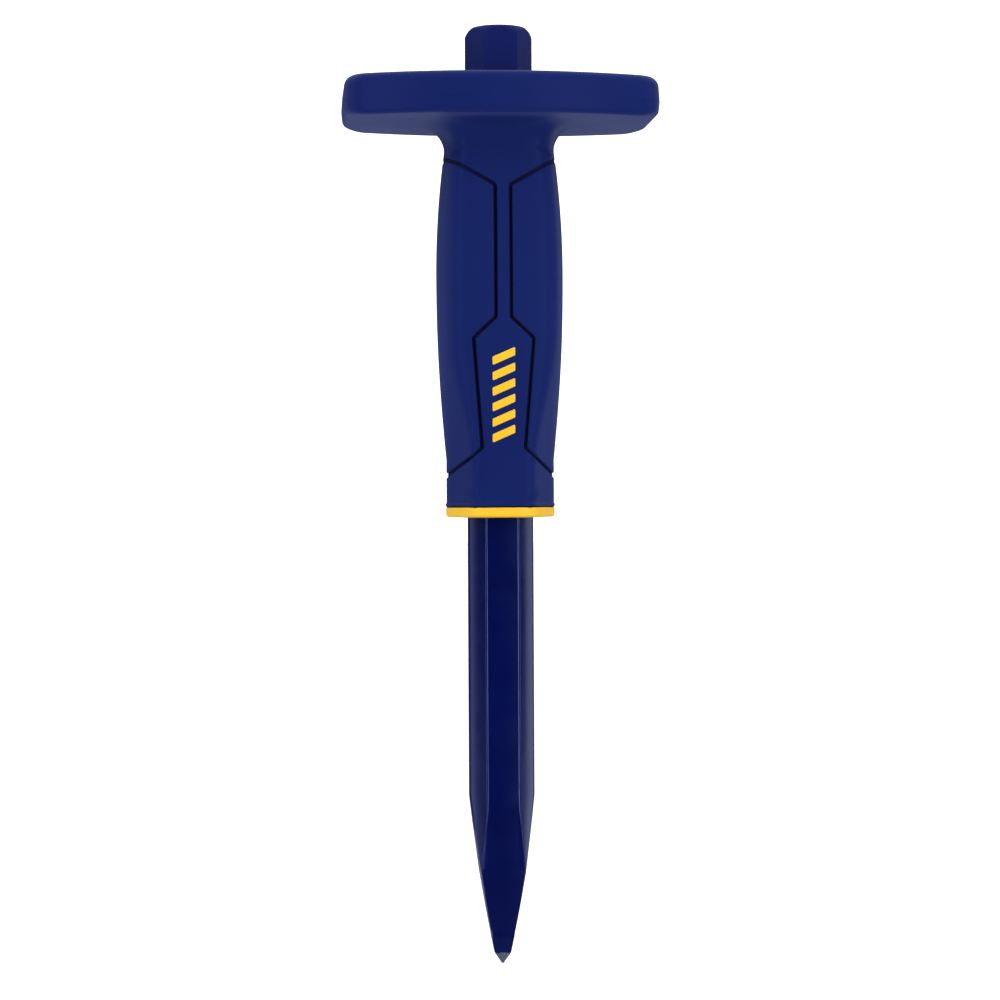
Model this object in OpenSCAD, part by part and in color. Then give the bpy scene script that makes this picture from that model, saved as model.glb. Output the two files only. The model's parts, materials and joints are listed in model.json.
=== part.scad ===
// Guarded point chisel: a forged hexagonal bar, a hard core tube pressed onto it,
// and a soft hand guard and grip moulded over the core, with two side pads let into
// the grip and a yellow collar at its lower end.
// The origin is the tip of the point. +Z runs up the bar to the striking face,
// X lies along the long side of the guard. Millimetres.

/* [Bar] */
// Length from the tip to the striking face
bar_length = 304.8; // [298:0.1:330]
// Hexagon size across the flats
bar_flats = 19.05; // [18:0.05:20]
// Width over the rounded corners of the shank
shank_width = 21.4; // [21:0.1:22]
// Height at which the four point faces leave the shank corners
point_length = 55; // [50:1:60]
// Half-width of the point where the bare ground tip begins
tip_half = 2.6; // [2:0.1:3]
// Height of the bare ground tip
tip_height = 3.5; // [2.5:0.1:5]
// How much thinner the point is from front to back than from side to side, each side
point_flattening = 0.6; // [0:0.1:1]
// How far the striking face's crowned edge reaches in
crown_width = 2.3; // [1.5:0.1:4]
// How far the crowned edge reaches down
crown_height = 3.2; // [2:0.1:5]

/* [Guard] */
// Guard length, side to side
guard_length = 102; // [90:1:115]
// Guard depth, front to back
guard_depth = 64; // [58:1:66]
// Guard thickness
guard_thickness = 13.5; // [12:0.5:14]
// Height of the guard's upper face above the tip
guard_top = 287; // [284:0.5:288]
// Radius of the guard's bulging front and back
guard_bow = 125; // [110:5:160]
// Radius of the guard's four corners in plan
guard_corner = 10; // [8:0.5:11]
// Radius of the guard's upper edge
guard_edge = 3.5; // [2:0.1:4]

/* [Grip] */
// Height of the grip's lower lip above the tip
grip_bottom = 148.75; // [146:0.25:150]
// Height of the thickest part of the grip above the tip
belly_height = 224; // [220:1:228]
// Half-width of the grip at its thickest part
belly_half_width = 20.6; // [20:0.1:21.5]
// Half-depth of the grip at its thickest part
belly_half_depth = 17.5; // [17:0.1:18]
// Half-width of the grip at its lower end
foot_half_width = 17.6; // [17:0.1:18]
// Half-depth of the grip at its lower end
foot_half_depth = 15.1; // [14.8:0.1:15.4]
// Radius of the blend between the grip and the guard
neck_blend = 9.5; // [8:0.1:9.6]
// Thickness of the two side pads
pad_thickness = 1.6; // [1.2:0.1:1.8]
// Width of the groove around each side pad
groove_width = 1.2; // [0.8:0.1:1.6]

/* [Collar and core] */
// Height of the yellow collar
collar_height = 3.3; // [2.5:0.1:4]
// Half-width of the yellow collar
collar_half_width = 17.75; // [17:0.05:18]
// Wall of the hard core tube
core_wall = 2.6; // [2:0.1:2.7]
// Thickness of the stiffening plate inside the guard
plate_thickness = 4; // [3:0.5:5]

/* [Stripes] */
// Number of slanted index stripes on the front of the grip
stripe_count = 6; // [3:1:8]
// Width of the stripe field
stripe_field_width = 7.3; // [5:0.1:8]
// How far the stripes stand out of the grip
stripe_proud = 0.25; // [0.1:0.05:0.4]

/* [Hidden] */
$fn = 96;

navy = "#1c2864";
yellow = "#fac832";
core_yellow = "#e0b42e";

over = 1;                                       // overrun of a cutter past a face
bar_radius = bar_flats / sqrt(3);               // centre to corner of the hexagon
head_radius = bar_radius - 0.03;                // the head's corners are nearly sharp
tip_flat = 0.3;                                 // the tip is blunt by this half-width
crown_power = 1.5;                              // 1 rounds the crown's edge, 2 bevels it
guard_bottom = guard_top - guard_thickness;
parting_height = guard_bottom + 0.42 * guard_thickness;
draft = 0.25;                                   // taper of the guard's rim each side
lower_edge = 2;                                 // radius of the guard's lower edge
plate_bottom = (guard_bottom + guard_top - plate_thickness) / 2;
plate_top = plate_bottom + plate_thickness;
plate_margin = 8;                               // soft cover outside the plate's edge
core_flats = bar_flats + 2 * core_wall;
core_top = plate_top;
core_bottom = grip_bottom - 1.75;
collar_top = grip_bottom - 0.15;
collar_bottom = collar_top - collar_height;
collar_edge = 1.2;                              // rounding of the collar's lower edge
collar_gap = 0.3;                               // clearance between collar and bar
palm_arc = 600;                                 // radius of the grip's side, below the belly
neck_arc = 303;                                 // the same, above the belly
face_foot = 0.51;                               // front face's share of the width, low down
face_belly = 0.776;                             // and from the belly upwards
face_start = grip_bottom + 11;                  // between these heights it widens
face_end = grip_bottom + 57;
edge_power = 12;                                // crispness of the grip's long edges
lip = 0.3;                                      // bead around the grip's lower end
stripe_bottom = grip_bottom + 19.5;
stripe_top = grip_bottom + 52.5;
stripe_slant = 3.2;                             // rise of a stripe across the field
stripe_share = 0.55;                            // stripe height as a share of the pitch
inlay_depth = 0.6;                              // how deep the stripes are let in
outside = 24;                                   // past the grip's side, for cutters

function add(v, i = 0) = i == len(v) ? 0 : v[i] + add(v, i + 1);
function ease(t) = let (c = min(1, max(0, t))) c * c * (3 - 2 * c);
function arc_drop(u, radius) = radius - sqrt(radius * radius - u * u);

// Outline of the guard in plan, pulled in by inset: a quarter first, then all four.
bow_centre = guard_depth / 2 - guard_bow;
corner_x = guard_length / 2 - guard_corner;
corner_y = bow_centre + sqrt(pow(guard_bow - guard_corner, 2) - pow(corner_x, 2));
corner_turn = atan2(corner_y - bow_centre, corner_x);
function guard_quarter(inset) = concat(
    [for (k = [0:1]) [guard_length / 2 - inset, corner_y * k / 2]],
    [for (k = [0:5]) let (a = corner_turn * k / 5, r = guard_corner - inset)
        [corner_x + r * cos(a), corner_y + r * sin(a)]],
    [for (k = [1:4]) let (a = corner_turn + (90 - corner_turn) * k / 5, r = guard_bow - inset)
        [r * cos(a), bow_centre + r * sin(a)]]);
function reversed(v) = [for (i = [len(v) - 1:-1:0]) v[i]];
function guard_outline(inset) = let (q = guard_quarter(inset), n = len(q)) concat(
    q, [[0, guard_depth / 2 - inset]],
    [for (i = [n - 1:-1:1]) [-q[i][0], q[i][1]]], [[-q[0][0], 0]],
    [for (i = [1:n - 1]) [-q[i][0], -q[i][1]]], [[0, inset - guard_depth / 2]],
    [for (i = [n - 1:-1:1]) [q[i][0], -q[i][1]]]);

// The grip is cut by flat-ish faces: two at the sides, front and back, and four
// slanting ones. Its rings use the guard's own directions, so one skin joins both.
directions = [for (p = guard_outline(0)) atan2(p[1], p[0])];
function half_width(z) = let (u = z - belly_height)
    max(foot_half_width, belly_half_width - arc_drop(u, u > 0 ? neck_arc : palm_arc));
function half_depth(z) = let (u = z - belly_height, low = belly_half_depth - foot_half_depth,
                              t = min(1, abs(u) / (belly_height - face_start)))
    belly_half_depth - (u > 0 ? arc_drop(u, neck_arc) : low * t * t);
function face_share(z) =
    face_foot + (face_belly - face_foot) * ease((z - face_start) / (face_end - face_start));
function slant_reach(z) =
    face_share(z) * half_width(z) * cos(30) + half_depth(z) * sin(30);
function reach(a, faces) =
    pow(add([for (f = faces) pow(max(0, cos(a - f[0])) / f[1], edge_power)]), -1 / edge_power);
function section(w, d, s) = let (
    faces = [[0, w], [180, w], [90, d], [270, d], [30, s], [150, s], [210, s], [330, s]],
    fit_w = w / reach(0, faces), fit_d = d / reach(90, faces))
    [for (a = directions) let (r = reach(a, faces)) [r * cos(a) * fit_w, r * sin(a) * fit_d]];
function grip_section(height, grow = 0) = let (z = min(height, neck_start))
    section(half_width(z) + grow, half_depth(z) + grow, slant_reach(z) + grow);
function raise(outline, z) = [for (p = outline) [p[0], p[1], z]];

// Heights of the grip's rings, from above its lip to the start of the neck blend.
neck_start = guard_bottom - neck_blend;
ring_steps = 18;
ring_start = grip_bottom + 2;
grip_heights = [for (k = [0:ring_steps]) ring_start + (neck_start - ring_start) * k / ring_steps];

function grip_rings(grow) = [for (z = grip_heights) raise(grip_section(z, grow), z)];

// Closed skin over a stack of rings that all have the same number of points. Each end
// is a fan of triangles about the axis.
module loft(rings) {
    n = len(rings[0]);
    m = len(rings);
    ends = [[0, 0, rings[0][0][2]], [0, 0, rings[m - 1][0][2]]];
    sides = [for (j = [0:m - 2], i = [0:n - 1]) let (k = (i + 1) % n)
        each [[j * n + i, (j + 1) * n + i, j * n + k],
              [j * n + k, (j + 1) * n + i, (j + 1) * n + k]]];
    bottom = [for (i = [0:n - 1]) [i, (i + 1) % n, m * n]];
    top = [for (i = [0:n - 1]) [(m - 1) * n + (i + 1) % n, (m - 1) * n + i, m * n + 1]];
    polyhedron(concat([for (r = rings) each r], ends), concat(sides, bottom, top));
}

module hexagon(flats, low, high) {
    translate([0, 0, low])
        cylinder(h = high - low, r = flats / sqrt(3), $fn = 6);
}

// Extrudes an outline drawn in X and Z along Y, centred, by depth on each side.
module through(depth) {
    rotate([90, 0, 0])
        linear_extrude(height = 2 * depth, center = true)
            children();
}

// One pair of opposite faces of the point, drawn as a bowed taper above the ground tip.
point_rise = point_length - tip_height;
point_arc = 690;
point_slope = (shank_width / 2 - tip_half + point_rise * point_rise / (2 * point_arc)) / point_rise;
point_steps = 12;
function point_half(z) = let (u = z - tip_height)
    tip_half + point_slope * u - u * u / (2 * point_arc);
module point_faces(thinner) {
    side = concat([[tip_flat, 0]],
                  [for (k = [0:point_steps + 2]) let (z = tip_height + point_rise * k / point_steps)
                      [point_half(z) - thinner, z]],
                  [[bar_radius + over, point_length + point_rise], [bar_radius + over, bar_length + over]]);
    polygon(concat(side, [for (p = reversed(side)) [-p[0], p[1]]]));
}

module chisel_bar() {
    head_start = guard_top - 20;
    color(navy)
        intersection() {
            hexagon(bar_flats, 0, bar_length);
            rotate_extrude()
                polygon(concat(
                    [[0, 0], [shank_width / 2, 0], [shank_width / 2, head_start],
                     [head_radius, head_start]],
                    [for (a = [0:10:90]) [head_radius - crown_width * (1 - pow(cos(a), crown_power)),
                                          bar_length - crown_height * (1 - pow(sin(a), crown_power))]],
                    [[0, bar_length]]));
            through(bar_radius + over)
                point_faces(0);
            rotate([0, 0, 90])
                through(bar_radius + over)
                    point_faces(point_flattening);
        }
}

module grip_core() {
    color(core_yellow)
        difference() {
            hexagon(core_flats, core_bottom, core_top);
            hexagon(bar_flats, core_bottom - over, core_top + over);
        }
}

module plate_shape(low, high) {
    translate([0, 0, low])
        linear_extrude(height = high - low)
            polygon(guard_outline(plate_margin));
}

module guard_plate() {
    color(core_yellow)
        difference() {
            plate_shape(plate_bottom, plate_top);
            hexagon(core_flats, plate_bottom - over, plate_top + over);
        }
}

// Groove around the right-hand pad, from above the side to below it, in X and Z.
groove_path = [[outside, guard_bottom - 8.9], [2.5, guard_bottom - 21.2], [2.5, grip_bottom + 61],
               [9.7, grip_bottom + 54.3], [6.95, grip_bottom + 19], [outside, grip_bottom + 5]];
function unit(v) = v / norm(v);
function side_of(a, b) = let (d = unit(b - a)) [-d[1], d[0]];
function beside(path, d) = [for (i = [0:len(path) - 1]) let (
    before = side_of(path[max(0, i - 1)], path[max(1, i)]),
    after = side_of(path[min(len(path) - 2, i)], path[min(len(path) - 1, i + 1)]))
    path[i] + d * (before + after) / (1 + before * after)];
module pad_window(widen) {
    through(outside)
        polygon(concat(beside(groove_path, groove_width / 2 - widen),
                       [[outside + over, grip_bottom + 5], [outside + over, guard_bottom - 8.9]]));
}

module pad_space() {
    difference() {
        pad_window(groove_width);
        loft(grip_rings(-pad_thickness));
    }
}

module right_grip_pad() {
    color(navy)
        difference() {
            intersection() {
                loft(grip_rings(0));
                pad_window(0);
            }
            loft(grip_rings(-pad_thickness));
        }
}

module left_grip_pad() {
    mirror([1, 0, 0])
        right_grip_pad();
}

// One slanted stripe through the front of the grip, number i from the bottom.
stripe_pitch = (stripe_top - stripe_bottom - stripe_slant) / stripe_count;
module stripe_outline(i) {
    low = stripe_bottom + stripe_pitch * (i + (1 - stripe_share) / 2);
    high = low + stripe_pitch * stripe_share;
    x = stripe_field_width / 2;
    polygon([[-x, low], [x, low + stripe_slant], [x, high + stripe_slant], [-x, high]]);
}
// Curved skin of the front face, from inlay_depth inside it to proud outside it.
front_steps = 10;
module front_skin(proud) {
    heights = [for (k = [0:front_steps])
        stripe_bottom - over + (stripe_top - stripe_bottom + 2 * over) * k / front_steps];
    rotate([90, 0, 90])
        linear_extrude(height = stripe_field_width + 2 * over, center = true)
            polygon(concat([for (z = heights) [-half_depth(z) - proud, z]],
                           [for (z = reversed(heights)) [inlay_depth - half_depth(z), z]]));
}
module stripes(proud) {
    for (i = [0:stripe_count - 1])
        intersection() {
            translate([0, -outside, 0])
                through(outside)
                    stripe_outline(i);
            front_skin(proud);
        }
}

module index_stripes() {
    color(yellow)
        stripes(stripe_proud);
}

// Rings of the guard from its lower face over the rim to its upper face.
guard_rings = concat(
    [for (a = [0:45:90]) raise(guard_outline(draft + lower_edge * (1 - sin(a))),
                               guard_bottom + lower_edge * (1 - cos(a)))],
    [raise(guard_outline(0), parting_height)],
    [for (a = [0:22.5:90]) raise(guard_outline(draft + guard_edge * (1 - cos(a))),
                                 guard_top - guard_edge * (1 - sin(a)))]);
neck_rings = [for (a = [18:18:90]) let (z = neck_start + neck_blend * sin(a))
    raise(grip_section(z, neck_blend * (1 - cos(a))), z)];
lip_rings = [for (s = [[0, 0], [lip, lip], [lip, 3 * lip]])
    raise(grip_section(grip_bottom, s[0]), grip_bottom + s[1])];

module guard_sleeve() {
    color(navy)
        difference() {
            loft(concat(lip_rings, grip_rings(0), neck_rings, guard_rings));
            hexagon(core_flats, grip_bottom - over, core_top);
            hexagon(bar_flats, core_top - over, guard_top + over);
            plate_shape(plate_bottom, plate_top);
            pad_space();
            mirror([1, 0, 0])
                pad_space();
            stripes(over);
        }
}

module end_collar() {
    scale_to = collar_half_width - foot_half_width;
    color(yellow)
        difference() {
            loft(concat(
                [for (a = [0:22.5:90]) raise(
                    grip_section(grip_bottom, scale_to - collar_edge * (1 - sin(a))),
                    collar_bottom + collar_edge * (1 - cos(a)))],
                [raise(grip_section(grip_bottom, scale_to), collar_top)]));
            hexagon(bar_flats + 2 * collar_gap, collar_bottom - over, collar_top + over);
            hexagon(core_flats, core_bottom, collar_top + over);
        }
}

chisel_bar();
grip_core();
guard_plate();
guard_sleeve();
left_grip_pad();
right_grip_pad();
end_collar();
index_stripes();
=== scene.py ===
import json
import math

import bmesh
import bpy
import numpy as np
from mathutils import Euler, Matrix, Quaternion, Vector, noise

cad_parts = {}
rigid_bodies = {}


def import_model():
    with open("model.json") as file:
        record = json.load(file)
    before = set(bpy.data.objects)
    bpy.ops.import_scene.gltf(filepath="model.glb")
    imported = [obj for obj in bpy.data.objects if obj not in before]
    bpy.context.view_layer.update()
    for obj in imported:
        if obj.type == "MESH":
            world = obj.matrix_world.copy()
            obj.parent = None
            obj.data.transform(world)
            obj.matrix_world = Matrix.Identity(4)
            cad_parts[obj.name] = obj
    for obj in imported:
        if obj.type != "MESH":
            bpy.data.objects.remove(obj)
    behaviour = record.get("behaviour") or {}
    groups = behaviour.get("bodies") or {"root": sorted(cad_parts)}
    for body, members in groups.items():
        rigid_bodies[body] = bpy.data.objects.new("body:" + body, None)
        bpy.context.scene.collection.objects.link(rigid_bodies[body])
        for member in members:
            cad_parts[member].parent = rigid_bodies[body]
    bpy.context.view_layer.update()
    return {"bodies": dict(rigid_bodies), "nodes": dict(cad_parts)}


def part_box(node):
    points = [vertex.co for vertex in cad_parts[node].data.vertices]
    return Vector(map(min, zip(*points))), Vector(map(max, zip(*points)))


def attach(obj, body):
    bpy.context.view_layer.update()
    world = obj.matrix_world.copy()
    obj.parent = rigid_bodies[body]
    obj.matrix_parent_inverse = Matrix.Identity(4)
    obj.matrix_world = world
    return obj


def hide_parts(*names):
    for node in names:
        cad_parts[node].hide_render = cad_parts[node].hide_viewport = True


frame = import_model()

# A guarded point chisel. Shapes are worked out in millimetres and made in metres, in the
# CAD model's frame: the tip is the origin, +Z runs up the bar, X along the guard.
MM = 0.001
body_name = next(iter(frame["bodies"]))


def box_mm(node):
    """The lowest and highest corners of a CAD node, in millimetres."""
    low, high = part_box(node)
    return np.array(low) / MM, np.array(high) / MM


bar_low, bar_high = box_mm("chisel_bar")
sleeve_low, sleeve_high = box_mm("guard_sleeve")
collar_low, collar_high = box_mm("end_collar")
core_low, core_high = box_mm("grip_core")
plate_low, plate_high = box_mm("guard_plate")
stripe_half_width = box_mm("index_stripes")[1][0]

# ---------------------------------------------------------------- shared dimensions, mm
bar_flats = bar_high[1] - bar_low[1]
bar_length = bar_high[2]
shank_rounding, flat_crown = 1.5, 80.0
head_radius = bar_high[0]
crown_width, crown_height, crown_power = 2.3, 3.2, 1.5
tip_height, tip_half, tip_flat = 3.5, 2.6, 0.3
point_length, point_arc, point_flattening = 55.0, 690.0, 0.6
paint_step, paint_step_end = 0.05, 10.0
ridge_rounding, ridge_softening, tip_rounding = 0.16, 0.4, 0.08
softening_start, softening_length = 14.0, 24.0
shoulder_start, shoulder_end = 42.0, point_length + 2.0
faces_end, out_of_reach = point_length + 10, 30.0

guard_top = sleeve_high[2]
guard_thickness = 2.0 * guard_top - plate_low[2] - plate_high[2]
guard_bottom = guard_top - guard_thickness
guard_half_length, guard_half_depth = sleeve_high[0], sleeve_high[1]
guard_bow, guard_corner, guard_edge, lower_edge = 125.0, 10.0, 3.5, 2.0
draft = 0.25
parting_height = guard_bottom + 0.42 * guard_thickness
parting_ridge = 0.05
end_curl, end_curl_start = 0.8, 43.0

grip_bottom = sleeve_low[2]
neck_blend, neck_fullness = 9.5, 0.6
neck_start = guard_bottom - neck_blend
belly_height, belly_half_width, belly_half_depth = 224.0, 20.6, 17.5
foot_half_width, foot_half_depth = 17.6, 15.1
palm_arc, neck_arc = 600.0, 303.0
face_foot, face_belly = 0.51, 0.776
face_start, face_end = grip_bottom + 11.0, grip_bottom + 57.0
edge_power, foot_crispness = 12.0, 16.0
pad_thickness, groove_width = 1.6, 1.2
edge_round = 0.28
shallow_foot, shallow_top, taper_length = 0.5, 0.22, 12.0
pad_clearance, pad_end_gap = 0.04, 0.02
ring_spacing = 0.55
top_search, foot_search = (230.0, 268.0), (150.0, 200.0)
weld_distance = 2e-6


# ---------------------------------------------------------------- mesh helpers
def add_piece(name, vertices, faces, nodes, materials, marks=None, sharp=40.0):
    """A closed mesh made from points in millimetres, standing for those CAD nodes."""
    mesh = bpy.data.meshes.new(name)
    mesh.from_pydata((np.asarray(vertices) * MM).tolist(), [], faces)
    for material in materials:
        mesh.materials.append(material)
    if marks is not None:
        mesh.polygons.foreach_set("material_index", marks)
    work = bmesh.new()
    work.from_mesh(mesh)
    bmesh.ops.remove_doubles(work, verts=work.verts, dist=weld_distance)
    bmesh.ops.recalc_face_normals(work, faces=work.faces)
    work.to_mesh(mesh)
    work.free()
    mesh.shade_smooth()
    mesh.set_sharp_from_angle(angle=math.radians(sharp))
    piece = bpy.data.objects.new(name, mesh)
    bpy.context.scene.collection.objects.link(piece)
    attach(piece, body_name)
    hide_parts(*nodes)
    return piece


def skin(rings, closed=False):
    """Vertices and quads of a skin over rings with the same number of points. The ends are
    fans about their middles, or the last ring joins the first."""
    count, steps = len(rings[0]), len(rings)
    vertices = np.vstack(rings)
    faces = []
    for j in range(steps if closed else steps - 1):
        a, b = j * count, (j + 1) % steps * count
        for i in range(count):
            k = (i + 1) % count
            faces.append((a + i, a + k, b + k, b + i))
    if not closed:
        middles = np.array([rings[0].mean(0), rings[-1].mean(0)])
        base, last = len(vertices), (steps - 1) * count
        vertices = np.vstack([vertices, middles])
        for i in range(count):
            k = (i + 1) % count
            faces.append((k, i, base))
            faces.append((last + i, last + k, base + 1))
    return vertices, faces


def ease(t):
    t = np.clip(t, 0.0, 1.0)
    return t * t * (3.0 - 2.0 * t)


def arc_drop(u, radius):
    return radius - math.sqrt(radius * radius - u * u)


# ---------------------------------------------------------------- grip and guard outlines
class Quarter:
    """A quarter of an outline, from the side (y = 0) to the middle (x = 0), measured along
    its length. The other three quarters mirror it."""

    def __init__(self, points):
        self.points = points
        step = np.hypot(*np.diff(points, axis=0).T)
        self.along = np.concatenate([[0.0], np.cumsum(step)])
        self.length = self.along[-1]
        slope = np.gradient(points, self.along, axis=0)
        slope /= np.linalg.norm(slope, axis=1)[:, None]
        slope[0], slope[-1] = (0.0, 1.0), (-1.0, 0.0)
        self.normals = np.column_stack([slope[:, 1], -slope[:, 0]])

    def place_of(self, x):
        """Distance from the side at which the outline is at that x."""
        return float(np.interp(-x, -self.points[:, 0], self.along))

    def at(self, along, depth):
        """Points that far along the outline, and that far inside it."""
        p = np.column_stack([np.interp(along, self.along, self.points[:, i]) for i in (0, 1)])
        n = np.column_stack([np.interp(along, self.along, self.normals[:, i]) for i in (0, 1)])
        return p - n * np.asarray(depth).reshape(-1, 1)


def half_width(z):
    u = z - belly_height
    return max(foot_half_width, belly_half_width - arc_drop(u, neck_arc if u > 0 else palm_arc))


def half_depth(z):
    u = z - belly_height
    t = min(1.0, abs(u) / (belly_height - face_start))
    drop = arc_drop(u, neck_arc) if u > 0 else (belly_half_depth - foot_half_depth) * t * t
    return belly_half_depth - drop


def slant_reach(z):
    """Distance from the axis to the slanting faces between the grip's front and its sides."""
    share = face_foot + (face_belly - face_foot) * ease((z - face_start) / (face_end - face_start))
    return share * half_width(z) * math.cos(math.radians(30)) + half_depth(z) * 0.5


quarter_angles = np.radians(np.linspace(0.0, 90.0, 361))


def reach(angles, w, d, s, power):
    """Distance from the axis to an outline of eight blended faces; a high power is crisp."""
    faces = ((0, w), (180, w), (90, d), (270, d), (30, s), (150, s), (210, s), (330, s))
    total = 0.0
    for degrees, distance in faces:
        towards = np.maximum(0.0, np.cos(angles - math.radians(degrees)))
        total = total + (towards / distance) ** power
    return total ** (-1.0 / power)


def grip_quarter(z, grow=0.0, power=None):
    """The grip's outline at a height: flat-ish faces with soft corners, crisper near the foot."""
    z = min(z, neck_start)
    if power is None:
        crisp = float(ease((face_end - z) / (face_end - grip_bottom)))
        power = edge_power + foot_crispness * crisp
    w, d, s = half_width(z) + grow, half_depth(z) + grow, slant_reach(z) + grow
    r = reach(quarter_angles, w, d, s, power)
    x, y = r * np.cos(quarter_angles), r * np.sin(quarter_angles)
    x[-1] = y[0] = 0.0
    return Quarter(np.column_stack([x * w / x[0], y * d / y[-1]]))


def guard_quarter(inset=0.0):
    """The guard's outline in plan: straight ends, round corners, bowed front and back."""
    bow_y = guard_half_depth - guard_bow
    corner_x = guard_half_length - guard_corner
    corner_y = bow_y + math.sqrt((guard_bow - guard_corner) ** 2 - corner_x ** 2)
    turn = math.atan2(corner_y - bow_y, corner_x)
    end = [(guard_half_length - inset, y) for y in np.linspace(0.0, corner_y, 20)[:-1]]
    corner_arc, bow_arc = guard_corner - inset, guard_bow - inset
    corner = [(corner_x + corner_arc * math.cos(a), corner_y + corner_arc * math.sin(a))
              for a in np.linspace(0.0, turn, 60)]
    bow = [(bow_arc * math.cos(a), bow_y + bow_arc * math.sin(a))
           for a in np.linspace(turn, math.pi / 2, 80)[1:]]
    return Quarter(np.array(end + corner + bow))


def mirror_round(quarter_points, z):
    """A whole ring from a quarter's points, anticlockwise from +X, at height z."""
    q = quarter_points
    back = q[::-1] * (-1.0, 1.0)
    ring = np.vstack([q, back, q * (-1.0, -1.0), back * (-1.0, -1.0)])
    return np.column_stack([ring, np.full(len(ring), z)])


# ---------------------------------------------------------------- grooves round the pads
# The groove runs in from the grip's side under the guard, down beside the spine, round the
# stripes' field and out to the side again above the foot.
outside = 24.0
groove_path = np.array([
    (outside, guard_bottom - 8.9), (2.5, guard_bottom - 21.2), (2.5, grip_bottom + 61.0),
    (9.7, grip_bottom + 54.3), (6.95, grip_bottom + 19.0), (outside, grip_bottom + 5.0)])
groove_bend = 1.1


def rounded_path(path, radius, steps=8):
    """The path with its corners turned into arcs of that radius."""
    out = [path[0]]
    for a, b, c in zip(path, path[1:], path[2:]):
        u, v = (a - b) / np.linalg.norm(a - b), (c - b) / np.linalg.norm(c - b)
        half = math.acos(np.clip(u @ v, -1.0, 1.0)) / 2
        cut = radius / math.tan(half)
        middle = b + (u + v) / np.linalg.norm(u + v) * radius / math.sin(half)
        p, q = b + u * cut - middle, b + v * cut - middle
        start, turn = math.atan2(p[1], p[0]), math.atan2(p[0] * q[1] - p[1] * q[0], p @ q)
        for t in np.linspace(0.0, 1.0, steps + 1):
            angle = start + turn * t
            out.append(middle + radius * np.array([math.cos(angle), math.sin(angle)]))
    return np.array(out + [path[-1]])


def beside(path, distance):
    """The path moved sideways, towards the pad where the distance is positive."""
    step = np.diff(path, axis=0)
    step /= np.linalg.norm(step, axis=1)[:, None]
    normal = np.column_stack([-step[:, 1], step[:, 0]])
    before, after = np.vstack([normal[:1], normal]), np.vstack([normal, normal[-1:]])
    mitre = (before + after) / (1.0 + (before * after).sum(1))[:, None]
    return path + distance * mitre


def path_x(path, z):
    """The path's x at a height. The path runs down from its first point to its last."""
    return float(np.interp(z, path[::-1, 1], path[::-1, 0]))


def path_distance(path, x, z):
    """Distance of points from the path, in the X and Z plane."""
    best = np.full(np.shape(x), 1e9)
    p = np.stack(np.broadcast_arrays(x, z), -1)
    for a, b in zip(path, path[1:]):
        along = np.clip(((p - a) @ (b - a)) / ((b - a) @ (b - a)), 0.0, 1.0)
        best = np.minimum(best, np.linalg.norm(p - a - along[..., None] * (b - a), axis=-1))
    return best


middle_path = rounded_path(groove_path, groove_bend)
spine_path = beside(middle_path, -groove_width / 2)
pad_path = beside(middle_path, groove_width / 2)


def round_over(distance):
    """How far an edge's rounding lies below the surface, that far from the edge."""
    u = np.clip(edge_round - distance, 0.0, edge_round)
    return edge_round - np.sqrt(np.maximum(edge_round ** 2 - u ** 2, 0.0))


def recess(z):
    """Depth of the bed that a pad lies in: it runs out towards the grip's two sides."""
    above, below = (z - spine_foot) / taper_length, (spine_top - z) / taper_length
    shallow = shallow_foot if above < below else shallow_top
    return shallow + (pad_thickness - shallow) * float(ease(min(above, below)))


def crossing(path, low, high):
    """The height between low and high at which the path leaves the grip's side."""
    inside_at_low = path_x(path, low) < half_width(low)
    for _ in range(50):
        middle = (low + high) / 2
        if (path_x(path, middle) < half_width(middle)) == inside_at_low:
            low = middle
        else:
            high = middle
    return (low + high) / 2


def heights_between(low, high, spacing):
    """Heights that crowd together towards both ends, where the outline closes."""
    crowd = np.linspace(0.0, 1.0, 9) ** 2 * 3.0
    inner = np.linspace(low + 3.0, high - 3.0, int((high - low - 6.0) / spacing) + 1)
    return np.concatenate([low + crowd[:-1], inner, (high - crowd[::-1])[1:]])


# ---------------------------------------------------------------- materials
blue_sheen = (0.4, 0.5, 1.0)
navy_dark, navy_light = (0.0042, 0.0112, 0.090), (0.0062, 0.0146, 0.106)
# Painted shade: a near-black copy of the navy rubber for the groove floors and walls and the step at the
# collar joint, standing in for shade in those recesses.
groove_shade_dark, groove_shade_light = (0.0006, 0.0018, 0.028), (0.0010, 0.0026, 0.036)
yellow_dark, yellow_light = (0.92, 0.51, 0.017), (0.97, 0.57, 0.024)
core_dark, core_light = (0.62, 0.37, 0.02), (0.74, 0.45, 0.03)
gloss_dark, gloss_light = (0.0003, 0.0020, 0.048), (0.0007, 0.0035, 0.062)
dulled_dark, dulled_light = (0.0064, 0.0115, 0.088), (0.0090, 0.0148, 0.104)
steel_dark, steel_light = (0.045, 0.055, 0.085), (0.17, 0.18, 0.20)
rubber_specular, rubber_sheen, sheen_roughness = 0.11, 0.11, 0.45
# Most of a noise texture's values lie between these two.
noise_low, noise_high = 0.3, 0.7


def new_material(name, roughness):
    material = bpy.data.materials.new(name)
    material.use_nodes = True
    tree = material.node_tree
    shader = next(n for n in tree.nodes if n.type == "BSDF_PRINCIPLED")
    shader.inputs["Roughness"].default_value = roughness
    place = tree.nodes.new("ShaderNodeTexCoord")
    return material, tree, shader, place.outputs["Object"]


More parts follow.
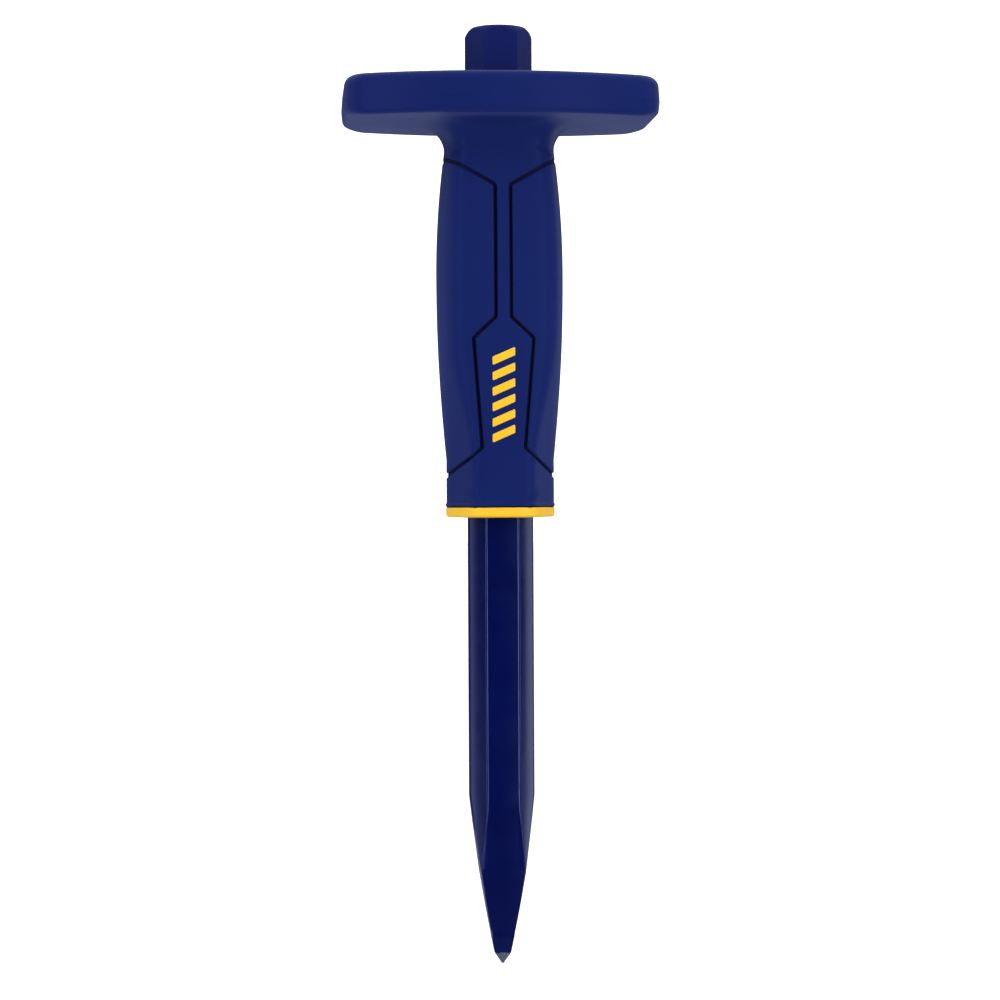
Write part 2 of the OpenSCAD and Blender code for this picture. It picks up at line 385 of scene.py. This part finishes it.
def add_noise(tree, place, scale, detail=3.0, stretch=None, roughness=0.5):
    """A noise texture's value; scale is in features per metre."""
    texture = tree.nodes.new("ShaderNodeTexNoise")
    texture.inputs["Scale"].default_value = scale
    texture.inputs["Detail"].default_value = detail
    texture.inputs["Roughness"].default_value = roughness
    if stretch is not None:
        mapping = tree.nodes.new("ShaderNodeMapping")
        mapping.inputs["Scale"].default_value = stretch
        tree.links.new(place, mapping.inputs["Vector"])
        place = mapping.outputs["Vector"]
    tree.links.new(place, texture.inputs["Vector"])
    return texture.outputs["Fac"]


def add_range(tree, value, from_low, from_high, to_low, to_high, smooth=False):
    node = tree.nodes.new("ShaderNodeMapRange")
    node.interpolation_type = "SMOOTHSTEP" if smooth else "LINEAR"
    limits = {"From Min": from_low, "From Max": from_high, "To Min": to_low, "To Max": to_high}
    for name, number in limits.items():
        node.inputs[name].default_value = number
    tree.links.new(value, node.inputs["Value"])
    return node.outputs["Result"]


def add_math(tree, operation, first, second):
    node = tree.nodes.new("ShaderNodeMath")
    node.operation = operation
    for socket, value in zip(node.inputs, (first, second)):
        if isinstance(value, (int, float)):
            socket.default_value = value
        else:
            tree.links.new(value, socket)
    return node.outputs["Value"]


def add_mix(tree, factor, low, high):
    """A colour between low and high, which are colours or sockets."""
    node = tree.nodes.new("ShaderNodeMix")
    node.data_type = "RGBA"
    tree.links.new(factor, node.inputs["Factor"])
    for socket, value in ((node.inputs[6], low), (node.inputs[7], high)):
        if isinstance(value, tuple):
            socket.default_value = (*value, 1.0)
        else:
            tree.links.new(value, socket)
    return node.outputs[2]


def add_bump(tree, shader, height, distance, strength=1.0, below=None):
    node = tree.nodes.new("ShaderNodeBump")
    node.inputs["Strength"].default_value = strength
    node.inputs["Distance"].default_value = distance
    tree.links.new(height, node.inputs["Height"])
    if below is not None:
        tree.links.new(below, node.inputs["Normal"])
    tree.links.new(node.outputs["Normal"], shader.inputs["Normal"])
    return node.outputs["Normal"]


def moulded_plastic(name, dark, light, roughness, grain=0.012, specular=0.25, sheen=0.0):
    """Moulded plastic with a fine matte grain, faint flow marks and a slightly uneven shine."""
    material, tree, shader, place = new_material(name, roughness)
    shader.inputs["Specular IOR Level"].default_value = specular
    if sheen > 0.0:
        shader.inputs["Specular Tint"].default_value = (*blue_sheen, 1.0)
        shader.inputs["Sheen Weight"].default_value = sheen
        shader.inputs["Sheen Roughness"].default_value = sheen_roughness
        shader.inputs["Sheen Tint"].default_value = (*blue_sheen, 1.0)
    flow = add_noise(tree, place, 45.0, 4.0, stretch=(1.0, 1.0, 0.35))
    speckle = add_noise(tree, place, 1500.0, 2.0)
    broad = add_math(tree, "MULTIPLY", flow, 0.7)
    fine = add_math(tree, "MULTIPLY", speckle, 0.3)
    tone = add_math(tree, "ADD", broad, fine)
    blend = add_range(tree, tone, noise_low, noise_high, 0.0, 1.0)
    tree.links.new(add_mix(tree, blend, dark, light), shader.inputs["Base Color"])
    shine = add_range(tree, flow, noise_low, noise_high, roughness - 0.05, roughness + 0.05)
    tree.links.new(shine, shader.inputs["Roughness"])
    coarse = add_bump(tree, shader, add_noise(tree, place, 120.0, 2.0), 0.06 * MM, 0.35)
    add_bump(tree, shader, add_noise(tree, place, 1900.0, 3.0), grain * MM, 0.8, below=coarse)
    return material


def painted_bar(name):
    """Glossy dark paint over forged steel, dulled above the guard, with a bare ground tip."""
    material, tree, shader, place = new_material(name, 0.2)
    shader.inputs["Specular Tint"].default_value = (*blue_sheen, 1.0)
    split = tree.nodes.new("ShaderNodeSeparateXYZ")
    tree.links.new(place, split.inputs["Vector"])
    waver, fade = 0.3 * MM, 0.12
    edge_noise = add_noise(tree, place, 800.0, 3.0)
    ragged = add_range(tree, edge_noise, noise_low, noise_high, -waver, waver)
    height = add_math(tree, "ADD", split.outputs["Z"], ragged)
    paint_low, paint_high = (tip_height - fade) * MM, (tip_height + fade) * MM
    painted = add_range(tree, height, paint_low, paint_high, 0.0, 1.0, smooth=True)
    bare = add_math(tree, "SUBTRACT", 1.0, painted)
    cloud = add_range(tree, add_noise(tree, place, 60.0, 4.0), noise_low, noise_high, 0.0, 1.0)
    gloss_paint = add_mix(tree, cloud, gloss_dark, gloss_light)
    dulled_paint = add_mix(tree, cloud, dulled_dark, dulled_light)
    dulled_low, dulled_high = (guard_top - 6.0) * MM, (guard_top + 4.0) * MM
    dulled = add_range(tree, split.outputs["Z"], dulled_low, dulled_high, 0.0, 1.0)
    paint = add_mix(tree, dulled, gloss_paint, dulled_paint)
    gloss_specular, dulled_specular = 0.75, 0.06
    specular = add_range(tree, dulled, 0.0, 1.0, gloss_specular, dulled_specular)
    tree.links.new(specular, shader.inputs["Specular IOR Level"])
    grinding = add_noise(tree, place, 900.0, 2.0, stretch=(0.25, 1.0, 3.0))
    ground = add_range(tree, grinding, noise_low, noise_high, 0.0, 1.0)
    steel = add_mix(tree, ground, steel_dark, steel_light)
    tree.links.new(add_mix(tree, painted, steel, paint), shader.inputs["Base Color"])
    tree.links.new(add_math(tree, "MULTIPLY", bare, 0.75), shader.inputs["Metallic"])
    shine = add_range(tree, add_noise(tree, place, 90.0, 3.0), noise_low, noise_high, 0.14, 0.20)
    bare_matte = add_math(tree, "MULTIPLY", bare, 0.25)
    dulled_matte = add_math(tree, "MULTIPLY", dulled, 0.25)
    matte = add_math(tree, "ADD", bare_matte, dulled_matte)
    tree.links.new(add_math(tree, "ADD", shine, matte), shader.inputs["Roughness"])
    peel = add_bump(tree, shader, add_noise(tree, place, 110.0, 1.0), 0.02 * MM, 0.4)
    add_bump(tree, shader, grinding, 0.006 * MM, 0.4, below=peel)
    return material


rubber = {"specular": rubber_specular, "sheen": rubber_sheen}
grip_rubber = moulded_plastic("grip_rubber", navy_dark, navy_light, 0.46, **rubber)
pad_rubber = moulded_plastic("pad_rubber", navy_dark, navy_light, 0.5, grain=0.016, **rubber)
# Rubber darkened as painted shade, for the grooves and the joint at the collar.
groove_shade_rubber = moulded_plastic("groove_shade_rubber", groove_shade_dark, groove_shade_light, 0.7, specular=0.1)
yellow_plastic = moulded_plastic("yellow_plastic", yellow_dark, yellow_light, 0.38, grain=0.006)
core_plastic = moulded_plastic("core_plastic", core_dark, core_light, 0.45)
bar_paint = painted_bar("bar_paint")


# ---------------------------------------------------------------- the forged bar
bar_normals = (0, 30, 90, 150, 180, 210, 270, 330)
flat_places = (0.0, 0.12, 0.3, 0.5, 0.7, 0.88, 1.0)
corner_steps = 6


def direction(degrees):
    return np.array([math.cos(math.radians(degrees)), math.sin(math.radians(degrees))])


def clipped_polygon(distances):
    """Corners of the convex polygon cut by a line at each of the bar's normals."""
    corners = [np.array(p) for p in ((-60.0, -60.0), (60.0, -60.0), (60.0, 60.0), (-60.0, 60.0))]
    for degrees, distance in zip(bar_normals, distances):
        n, kept = direction(degrees), []
        for p, q in zip(corners, corners[1:] + corners[:1]):
            a, b = p @ n - distance, q @ n - distance
            if a <= 0:
                kept.append(p)
            if (a < 0) != (b < 0) and a != b:
                kept.append(p + (q - p) * a / (a - b))
        corners = kept
    return np.array(corners)


def rounded_ring(distances, rounding, z):
    """The bar's outline with rounded corners. Its flats touch the lines at those distances,
    and are very slightly crowned, as rolled ones are."""
    corners = clipped_polygon([d - rounding for d in distances])
    starts = [corners[np.argmax(corners @ direction(degrees - 0.5))] for degrees in bar_normals]
    ends = [corners[np.argmax(corners @ direction(degrees + 0.5))] for degrees in bar_normals]
    drops = [(end - start) @ (end - start) / (8 * flat_crown) * direction(degrees)
             for start, end, degrees in zip(starts, ends, bar_normals)]
    ring = []
    for i, degrees in enumerate(bar_normals):
        following = bar_normals[i + 1] if i < 7 else 360
        for t in flat_places:
            middle = starts[i] + (ends[i] - starts[i]) * t - drops[i] * (2 * t - 1) ** 2
            ring.append(middle + rounding * direction(degrees))
        for k in range(1, corner_steps):
            share = k / corner_steps
            drop = drops[i] * (1 - share) + drops[(i + 1) % 8] * share
            ring.append(ends[i] - drop + rounding * direction(degrees + (following - degrees) * share))
    return np.column_stack([np.array(ring), np.full(len(ring), z)])


def turned_ring(radius, z):
    """The hexagon turned down to a radius, as the head's corners and crown are."""
    spread = math.degrees(math.acos(min(1.0, bar_flats / 2 / radius)))
    ring = []
    for degrees in range(30, 390, 60):
        left, right = direction(degrees - spread) * radius, direction(degrees + spread) * radius
        ring += [left + (right - left) * t for t in flat_places]
        gap = 60.0 - 2.0 * spread
        count = corner_steps - 1
        if degrees in (150, 330):
            count = 2 * (corner_steps - 1) + len(flat_places)
        ring += [radius * direction(degrees + spread + gap * (k + 1) / (count + 1)) for k in range(count)]
    # The ring above starts at the 30 degree flat; the shank's starts with the 0 degree one.
    shift = len(flat_places) + corner_steps - 1
    return np.column_stack([np.roll(np.array(ring), shift, axis=0), np.full(len(ring), z)])


def point_half(z):
    """Half-width of the point at a height, from side to side."""
    if z < tip_height:
        return tip_flat + (tip_half - tip_flat) * z / tip_height
    rise = point_length - tip_height
    u = z - tip_height
    shank_half = bar_flats / math.sqrt(3) - shank_rounding * (2 / math.sqrt(3) - 1)
    slope = (shank_half - tip_half + rise * rise / (2 * point_arc)) / rise
    return tip_half + slope * u - u * u / (2 * point_arc)


def bar_ring(z, proud=0.0):
    """One ring of the point or the shank. The paint makes it stand proud of the bare tip."""
    flat = bar_flats / 2
    wide = point_half(z) + proud
    thin = wide - point_flattening * min(1.0, z / tip_height)
    sides = [flat] * 8
    # The point's two side faces lie out of reach above it, so that only the hexagon is left.
    sides[0] = sides[4] = wide if z < faces_end else out_of_reach
    sides[2] = sides[6] = min(flat, thin) if z < faces_end else flat
    rounding = ridge_rounding + ridge_softening * ease((z - softening_start) / softening_length)
    shoulder = ease((z - shoulder_start) / (shoulder_end - shoulder_start))
    rounding += (shank_rounding - rounding) * shoulder
    if z < tip_height:
        rounding = tip_rounding
    return rounded_ring(sides, rounding, z)


def build_bar():
    """The whole forging: bare tip, point, shank and the crowned head."""
    point_heights = np.linspace(tip_height + 0.02, 44.0, 44)
    shoulder_heights = np.linspace(44.4, 62.0, 60)
    shank_heights = np.linspace(70.0, 200.0, 14)
    heights = np.concatenate([point_heights, shoulder_heights, shank_heights])
    rings = [bar_ring(z) for z in (0.0, 0.1, 1.2, 2.4, tip_height - 0.02)]
    rings += [bar_ring(z, paint_step if z < paint_step_end else 0.0) for z in heights]
    head_heights = (201.0, 270.0, 285.0, bar_length - crown_height - 4.0)
    rings += [turned_ring(head_radius, z) for z in head_heights]
    for a in np.radians(np.linspace(0.0, 90.0, 28)):
        radius = head_radius - crown_width * (1 - max(0.0, math.cos(a)) ** crown_power)
        z = bar_length - crown_height * (1 - math.sin(a) ** crown_power)
        rings.append(turned_ring(radius, z))
    top = head_radius - crown_width
    rings += [turned_ring(top * share, bar_length) for share in (0.97, 0.6)]
    vertices, faces = skin(rings)
    return add_piece("chisel_bar_forging", vertices, faces, ["chisel_bar"],
                     [bar_paint], sharp=28)


# ---------------------------------------------------------------- the soft sleeve and guard
floor_steps, wall_depths, spine_steps = 12, (1.0, 0.6, 0.3), 58
spine_top, spine_foot = crossing(spine_path, *top_search), crossing(spine_path, *foot_search)


def sleeve_ring(z):
    """One ring of the grip: under a pad it lies deeper, by the depth of the pad's bed."""
    quarter = grip_quarter(z)
    edge = 0.0
    if spine_foot < z < spine_top:
        edge = quarter.place_of(path_x(spine_path, z))
    depth = recess(z) if edge > 0 else 0.0
    crowd = np.linspace(0.0, 1.0, spine_steps)
    crowd = 0.35 * crowd ** 3 + 0.65 * crowd
    along = np.concatenate([np.linspace(0.0, edge, floor_steps), np.full(len(wall_depths), edge),
                            edge + (quarter.length - edge) * crowd])
    on_spine = quarter.at(along[-spine_steps:], np.zeros(spine_steps))
    away = path_distance(spine_path, on_spine[:, 0], z)
    near_groove = edge > 0 or min(abs(z - spine_top), abs(z - spine_foot)) < 1
    rounded = round_over(away) if near_groove else np.zeros(spine_steps)
    depths = np.concatenate([np.full(floor_steps, depth), [depth * d for d in wall_depths], rounded])
    return mirror_round(quarter.at(along, depths), z)


def spread_ring(quarter, z, depth=0.0):
    """A ring with no groove, its points matched to those of sleeve_ring."""
    crowd = np.linspace(0.0, 1.0, spine_steps)
    along = np.concatenate([np.zeros(floor_steps + len(wall_depths)), quarter.length * crowd])
    return mirror_round(quarter.at(along, np.full(len(along), depth)), z)


def hexagon_ring(like, flats, z):
    """The hexagon hole's wall, at the directions of another ring's points."""
    angle = np.arctan2(like[:, 1], like[:, 0])
    turn = (angle - math.radians(30)) % math.radians(60)
    radius = flats / 2 / np.cos(np.minimum(turn, math.radians(60) - turn))
    return np.column_stack([radius * np.cos(angle), radius * np.sin(angle), np.full(len(like), z)])


def lift_ends(ring):
    """The guard's lower face curls up a little at its two ends."""
    t = (np.abs(ring[:, 0]) - end_curl_start) / (guard_half_length - end_curl_start)
    ring[:, 2] += end_curl * ease(t)
    return ring


def build_sleeve():
    """The soft moulding, from the lip at its foot up over the guard and down its hole."""
    # The lip's profile, as depth and rise. It starts with a step down to the collar. That step and the
    # lip's first bands are given painted shade at the joint.
    step = collar_high[2] - grip_bottom + 0.01
    lip = [(0.14, step), (0.14, 0.0), (0.1, 0.0), (-0.02, 0.08), (-0.12, 0.24)]
    lip += [(-0.28, 0.5), (-0.28, 0.9), (-0.1, 1.2), (0.0, 1.55)]
    joint_shade_bands = 4
    foot = grip_quarter(grip_bottom)
    rings = [spread_ring(foot, grip_bottom + rise, depth) for depth, rise in lip]
    first_grip = len(rings)
    plain_heights = [grip_bottom + 4.0, grip_bottom + 7.0]
    grooved_heights = heights_between(spine_foot, spine_top, ring_spacing)
    heights = np.concatenate([plain_heights, grooved_heights])
    rings += [sleeve_ring(z) for z in heights]
    after_grip = len(rings)
    lean = math.asin((neck_start - belly_height) / neck_arc)
    radius = neck_blend / (1 + math.sin(lean))
    for a in np.linspace(-lean, math.pi / 2, 20)[1:]:
        grow = radius * (math.cos(lean) - math.cos(a))
        z = neck_start + radius * (math.sin(lean) + math.sin(a))
        softer = edge_power - 7.0 * float(ease((a + lean) / 1.2))
        fuller = grow + neck_fullness * float(ease(a + lean))
        rings.append(spread_ring(grip_quarter(neck_start, fuller, softer), z))
    inner = rings[-1]
    for share in np.linspace(0.0, 1.0, 12)[1:-1]:
        outer = spread_ring(guard_quarter(draft + lower_edge + parting_ridge), guard_bottom)
        rings.append(lift_ends(inner + (outer - inner) * share))
    for a in np.linspace(0.0, 90.0, 9):
        inset = draft + lower_edge * (1 - math.sin(math.radians(a)))
        z = guard_bottom + lower_edge * (1 - math.cos(math.radians(a)))
        rings.append(lift_ends(spread_ring(guard_quarter(inset + parting_ridge), z)))
    ridge = [(-0.8, 0.0), (-0.28, 0.0), (-0.16, 0.6), (0.0, 1.0), (0.16, 0.6), (0.28, 0.0), (0.8, 0.0)]
    for rise, share in ridge:
        rings.append(spread_ring(guard_quarter(parting_ridge * (1.0 - share)), parting_height + rise))
    for a in np.linspace(0.0, 90.0, 13):
        inset = draft + guard_edge * (1 - math.cos(math.radians(a)))
        z = guard_top - guard_edge * (1 - math.sin(math.radians(a)))
        rings.append(spread_ring(guard_quarter(inset + parting_ridge), z))
    outer = rings[-1]
    mouth_flats, hole_flats = bar_flats + 0.9, bar_flats + 0.1
    core_flats = core_high[1] - core_low[1]
    for share in (0.15, 0.4, 0.65, 0.85):
        rings.append(outer + (hexagon_ring(outer, mouth_flats, guard_top) - outer) * share)
    hole = [(mouth_flats, guard_top), (hole_flats, guard_top - 0.4), (hole_flats, core_high[2])]
    hole += [(core_flats, core_high[2]), (core_flats, grip_bottom + step)]
    rings += [hexagon_ring(outer, flats, z) for flats, z in hole]
    vertices, faces = skin(rings, closed=True)
    count = len(rings[0])
    quarter = count // 4
    # Groove floors and walls get the darker rubber: painted shade in the recess.
    in_groove = np.zeros(quarter, bool)
    in_groove[:floor_steps + len(wall_depths) - 1] = True
    around = np.concatenate([in_groove, in_groove[::-1]] * 2)
    marks = np.zeros(len(faces), np.int32)
    # The step and the lip's first bands get the darker rubber: painted shade at the collar joint.
    marks[:joint_shade_bands * count] = 1
    for j in range(first_grip, after_grip - 1):
        marks[j * count:(j + 1) * count] = around
    return add_piece("guard_sleeve_moulding", vertices, faces, ["guard_sleeve"],
                     [grip_rubber, groove_shade_rubber], marks)


# ---------------------------------------------------------------- the two side pads
def build_pad(side):
    """The right-hand pad, or its mirror image where side is -1."""
    top, foot = crossing(pad_path, *top_search), crossing(pad_path, *foot_search)
    half = np.linspace(0.0, 1.0, 30)
    half = 1.0 - (1.0 - half) ** 1.8
    spread = np.concatenate([-half[::-1], half[1:]])
    rings = []
    for z in heights_between(foot + pad_end_gap, top - pad_end_gap, ring_spacing):
        quarter = grip_quarter(z)
        edge = quarter.place_of(path_x(pad_path, z))
        along = np.abs(spread) * edge
        surface = quarter.at(along, np.zeros(len(along)))
        away = path_distance(pad_path, surface[:, 0], z)
        outer = quarter.at(along, round_over(away))
        inner = quarter.at(along, np.full(len(along), recess(z) - pad_clearance))
        for skin_points in (outer, inner):
            skin_points[:, 1] *= np.sign(spread)
        ring = np.vstack([outer, inner[::-1]])
        rings.append(np.column_stack([side * ring[:, 0], ring[:, 1], np.full(len(ring), z)]))
    vertices, faces = skin(rings)
    name = "right_grip_pad" if side > 0 else "left_grip_pad"
    return add_piece(name + "_moulding", vertices, faces, [name], [pad_rubber])


# ---------------------------------------------------------------- the yellow collar
def build_collar():
    """The ring, with a rounded foot and a slightly uneven moulded upper edge."""
    foot, top = collar_low[2], collar_high[2]
    rounding, cone, flash = 1.15, 0.2, 0.3
    bump_scale, bump_slice = 0.55, 3.1
    outline = grip_quarter(grip_bottom, collar_high[0] - foot_half_width, edge_power)
    rings = []
    for a in np.radians(np.linspace(0.0, 90.0, 10)):
        rise = cone * math.cos(a) + (rounding + 0.1) * (1 - math.cos(a))
        rings.append(spread_ring(outline, foot + rise, rounding * (1 - math.sin(a)) ** 1.2))
    for depth, share in ((0.0, 0.5), (0.0, 0.75), (0.0, 0.9), (0.0, 0.97), (0.06, 1.0)):
        ring = spread_ring(outline, foot + share * (top - foot), depth)
        for point in ring:
            bump = noise.noise(Vector((point[0] * bump_scale, point[1] * bump_scale, bump_slice)))
            point[2] -= flash * min(1.0, max(0.0, 0.5 + 1.5 * bump)) * max(0.0, share - 0.5) * 2.0
        rings.append(ring)
    hole = bar_flats + 0.7
    rings.append(spread_ring(outline, top, 0.3))
    rings += [hexagon_ring(rings[-1], hole, top), hexagon_ring(rings[-1], hole, foot)]
    rings += [rings[-1] + (rings[0] - rings[-1]) * 0.5]
    vertices, faces = skin(rings, closed=True)
    return add_piece("end_collar_ring", vertices, faces, ["end_collar"],
                     [yellow_plastic])


# ---------------------------------------------------------------- index stripes
def rounded_outline(corners, inset, radius, steps=5):
    """A convex outline, anticlockwise, moved in by inset, with rounded corners."""
    count = len(corners)
    edges = [corners[(i + 1) % count] - corners[i] for i in range(count)]
    normals = [np.array([e[1], -e[0]]) / np.linalg.norm(e) for e in edges]
    out = []
    for i in range(count):
        before, after = normals[i - 1], normals[i]
        mitre = (before + after) / (1.0 + before @ after)
        middle = corners[i] - mitre * radius
        start = math.atan2(before[1], before[0])
        turn = math.atan2(before[0] * after[1] - before[1] * after[0], before @ after)
        for k in range(steps + 1):
            angle = start + turn * k / steps
            out.append(middle + (radius - inset) * np.array([math.cos(angle), math.sin(angle)]))
    return np.array(out)


def build_stripes(count=6, slant=3.2, share=0.55, proud=0.25):
    """Slanted stripes let into the grip's front face, standing a little proud."""
    low, high, half = grip_bottom + 19.5, grip_bottom + 52.5, stripe_half_width
    pitch = (high - low - slant) / count
    # The stripe's edge, as inset and level, from below the surface up to its proud face.
    levels = [(0.0, -0.3), (0.0, 0.12), (0.03, 0.19), (0.09, 0.235), (0.18, proud)]
    vertices, faces = [], []
    for i in range(count):
        foot = low + pitch * (i + (1 - share) / 2)
        head = foot + pitch * share
        slanted = ((-half, foot), (half, foot + slant), (half, head + slant), (-half, head))
        corners = [np.array(p) for p in slanted]
        rings = []
        for inset, level in levels:
            outline = rounded_outline(corners, inset, 0.35)
            depth = np.array([half_depth(z) for z in outline[:, 1]])
            rings.append(np.column_stack([outline[:, 0], -depth - level, outline[:, 1]]))
        points, quads = skin(rings)
        base = len(vertices)
        vertices += points.tolist()
        faces += [tuple(base + k for k in face) for face in quads]
    return add_piece("index_stripe_inlays", vertices, faces, ["index_stripes"],
                     [yellow_plastic])


build_bar()
build_sleeve()
for side in (1, -1):
    build_pad(side)
build_collar()
build_stripes()
for hidden in ("grip_core", "guard_plate"):
    node = frame["nodes"][hidden]
    if not node.data.materials:
        node.data.materials.append(None)
    for material_slot in node.material_slots:
        material_slot.link = "OBJECT"
        material_slot.material = core_plastic


# ---------------------------------------------------------------- camera
eye_distance, eye_height = 0.9, 0.1508
eye_azimuth, eye_roll = math.radians(-4.5), math.radians(-0.28)
sensor_width, focal_length = 36.0, 99.25
shift_x, shift_y = -0.0004, 0.0007
camera = bpy.data.objects.new("camera", bpy.data.cameras.new("camera"))
bpy.context.scene.collection.objects.link(camera)
camera.data.sensor_width = sensor_width
camera.data.lens = focal_length
camera.data.shift_x, camera.data.shift_y = shift_x, shift_y
eye_x, eye_y = eye_distance * math.sin(eye_azimuth), -eye_distance * math.cos(eye_azimuth)
camera.location = (eye_x, eye_y, eye_height)
camera.rotation_mode = "QUATERNION"
level = Euler((math.pi / 2, 0.0, eye_azimuth)).to_quaternion()
camera.rotation_quaternion = level @ Quaternion((0.0, 0.0, 1.0), eye_roll)
bpy.context.scene.camera = camera
bpy.context.scene.view_settings.view_transform = "Standard"

# ---------------------------------------------------------------- floor and light
floor_reach, floor_grey, floor_glow = 9.0, 0.92, 0.45
floor_signs = ((-1, -1), (1, -1), (1, 1), (-1, 1))
floor_mesh = bpy.data.meshes.new("floor")
floor_corners = [(floor_reach * x, floor_reach * y, 0.0) for x, y in floor_signs]
floor_mesh.from_pydata(floor_corners, [], [(0, 1, 2, 3)])
floor = bpy.data.objects.new("floor", floor_mesh)
bpy.context.scene.collection.objects.link(floor)
floor_material, _, floor_shader, _ = new_material("floor_pale", 0.9)
floor_shader.inputs["Base Color"].default_value = (floor_grey, floor_grey, floor_grey, 1.0)
floor_shader.inputs["Specular IOR Level"].default_value = 0.0
floor_shader.inputs["Emission Color"].default_value = (1.0, 1.0, 1.0, 1.0)
floor_shader.inputs["Emission Strength"].default_value = floor_glow
floor_mesh.materials.append(floor_material)
floor.visible_diffuse = floor.visible_glossy = floor.visible_shadow = False

cool_white, warm_white = (0.74, 0.81, 1.0), (1.0, 0.97, 0.94)
surround_strength = 1.6
softbox_distance, softbox_height, softbox_length = 1.3, 0.2, 1.5
light_target = Vector((0.0, 0.0, 0.16))
# How bright the surround is, as pairs of a direction's height (-1 is straight down) and a value.
below = ((-1.0, 0.85), (-0.75, 0.6))
above = ((-0.04, 0.03), (0.22, 0.03), (0.6, 0.8))
front_stops = below + ((-0.45, 0.05), (-0.16, 0.03)) + above
back_stops = below + ((-0.3, 0.32), (-0.16, 0.22)) + above


def sky_ramp(tree, height, stops):
    """A cool grey that depends on how far up or down a direction points."""
    ramp = tree.nodes.new("ShaderNodeValToRGB")
    ramp.color_ramp.interpolation = "EASE"
    tree.links.new(height, ramp.inputs["Fac"])
    while len(ramp.color_ramp.elements) < len(stops):
        ramp.color_ramp.elements.new(0.5)
    for element, (place, value) in zip(ramp.color_ramp.elements, stops):
        element.position = (place + 1.0) / 2.0
        element.color = (*(value * part for part in cool_white), 1.0)
    return ramp.outputs["Color"]


def studio_world():
    """The surround: white where it is seen, and it lights the tool as a soft ceiling and a
    pale table would."""
    world = bpy.data.worlds.new("studio")
    world.use_nodes = True
    tree = world.node_tree
    background = next(n for n in tree.nodes if n.type == "BACKGROUND")
    place = tree.nodes.new("ShaderNodeTexCoord")
    split = tree.nodes.new("ShaderNodeSeparateXYZ")
    tree.links.new(place.outputs["Generated"], split.inputs["Vector"])
    height = add_range(tree, split.outputs["Z"], -1.0, 1.0, 0.0, 1.0)
    front = sky_ramp(tree, height, front_stops)
    back = sky_ramp(tree, height, back_stops)
    behind = add_range(tree, split.outputs["Y"], -0.25, 0.6, 0.0, 1.0, smooth=True)
    path = tree.nodes.new("ShaderNodeLightPath")
    lighting = add_mix(tree, behind, front, back)
    seen = add_mix(tree, path.outputs["Is Camera Ray"], lighting, (1.0, 1.0, 1.0))
    tree.links.new(seen, background.inputs["Color"])
    background.inputs["Strength"].default_value = surround_strength
    bpy.context.scene.world = world


def softbox(name, azimuth, width, power, colour):
    """An area light that faces the middle of the tool."""
    light = bpy.data.lights.new(name, "AREA")
    light.shape = "RECTANGLE"
    light.size, light.size_y, light.energy = width, softbox_length, power
    light.color = colour
    lamp = bpy.data.objects.new(name, light)
    a = math.radians(azimuth)
    x, y = softbox_distance * math.sin(a), -softbox_distance * math.cos(a)
    lamp.location = (x, y, softbox_height)
    aim = light_target - lamp.location
    lamp.rotation_mode = "QUATERNION"
    lamp.rotation_quaternion = aim.to_track_quat("-Z", "Y")
    bpy.context.scene.collection.objects.link(lamp)


studio_world()
softbox("front_left_softbox", -36.0, 0.2, 8.0, warm_white)
softbox("front_right_softbox", 26.0, 0.2, 9.4, warm_white)
softbox("left_softbox", -88.0, 0.3, 3.6, cool_white)
softbox("right_softbox", 84.0, 0.3, 4.0, cool_white)
softbox("rear_left_softbox", -129.0, 0.5, 1.8, cool_white)
softbox("rear_right_softbox", 134.0, 0.5, 1.8, cool_white)
